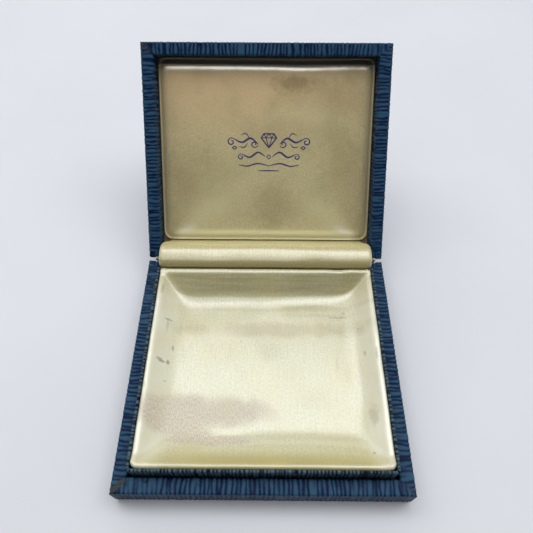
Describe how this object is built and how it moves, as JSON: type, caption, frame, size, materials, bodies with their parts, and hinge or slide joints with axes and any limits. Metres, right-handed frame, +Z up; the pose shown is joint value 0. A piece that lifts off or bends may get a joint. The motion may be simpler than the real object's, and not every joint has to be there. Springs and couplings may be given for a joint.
{
  "type": "jewelry presentation case",
  "caption": "Shallow hinged jewelry case with a padded satin tray and lid pad, covered in ribbed blue paper, held open or shut by a snap spring.",
  "frame": {"origin": "centre of the flat underside, on the table", "axes": "+X to the right along the hinge, +Y from the front edge to the hinge, +Z up"},
  "size_m": [0.105, 0.1634, 0.084],
  "materials": {
    "ribbed_paper": "ribbed, satin",
    "sheet_paper": "grained, satin",
    "collar_paper": "ribbed, satin",
    "wood": "unfinished",
    "board": "matte",
    "card": "matte",
    "wadding": "matte",
    "tray_satin": "satin",
    "pad_satin": "satin",
    "apron_satin": "satin",
    "hinge_steel": "dulled",
    "wire_steel": "dulled",
    "spring_steel": "blued"
  },
  "bodies": {
    "base": {"base_board": "board", "base_rail_front": "wood", "base_rail_rear": "wood", "base_rail_left": "wood", "base_rail_right": "wood", "base_cover_front": "ribbed_paper", "base_cover_rear": "ribbed_paper", "base_cover_left": "ribbed_paper", "base_cover_right": "ribbed_paper", "base_sheet": "sheet_paper", "collar_card_front": "card", "collar_card_left": "card", "collar_card_right": "card", "collar_paper_front": "collar_paper", "collar_paper_left": "collar_paper", "collar_paper_right": "collar_paper", "tray_former": "card", "tray_wadding": "wadding", "tray_satin": "tray_satin", "hinge_leaf_base": "hinge_steel", "hinge_pin": "wire_steel", "hinge_tacks_base": "wire_steel", "snap_spring": "spring_steel", "apron_stiffener": "card", "apron_satin": "apron_satin"},
    "lid": {"lid_board": "board", "lid_rail_front": "wood", "lid_rail_rear": "wood", "lid_rail_left": "wood", "lid_rail_right": "wood", "lid_cover_front": "ribbed_paper", "lid_cover_rear": "ribbed_paper", "lid_cover_left": "ribbed_paper", "lid_cover_right": "ribbed_paper", "lid_sheet": "sheet_paper", "lid_pad_card": "card", "lid_pad_wadding": "wadding", "lid_pad_satin": "pad_satin", "hinge_leaf_lid": "hinge_steel", "hinge_tacks_lid": "wire_steel"}
  },
  "joints": [
    {"name": "lid_hinge", "type": "hinge", "parent": "base", "child": "lid", "pos_m": [0, 0.0472, 0.0121], "axis": [1, 0, 0], "range_deg": [0, 130], "deforming": ["snap_spring", "apron_stiffener", "apron_satin"]}
  ]
}
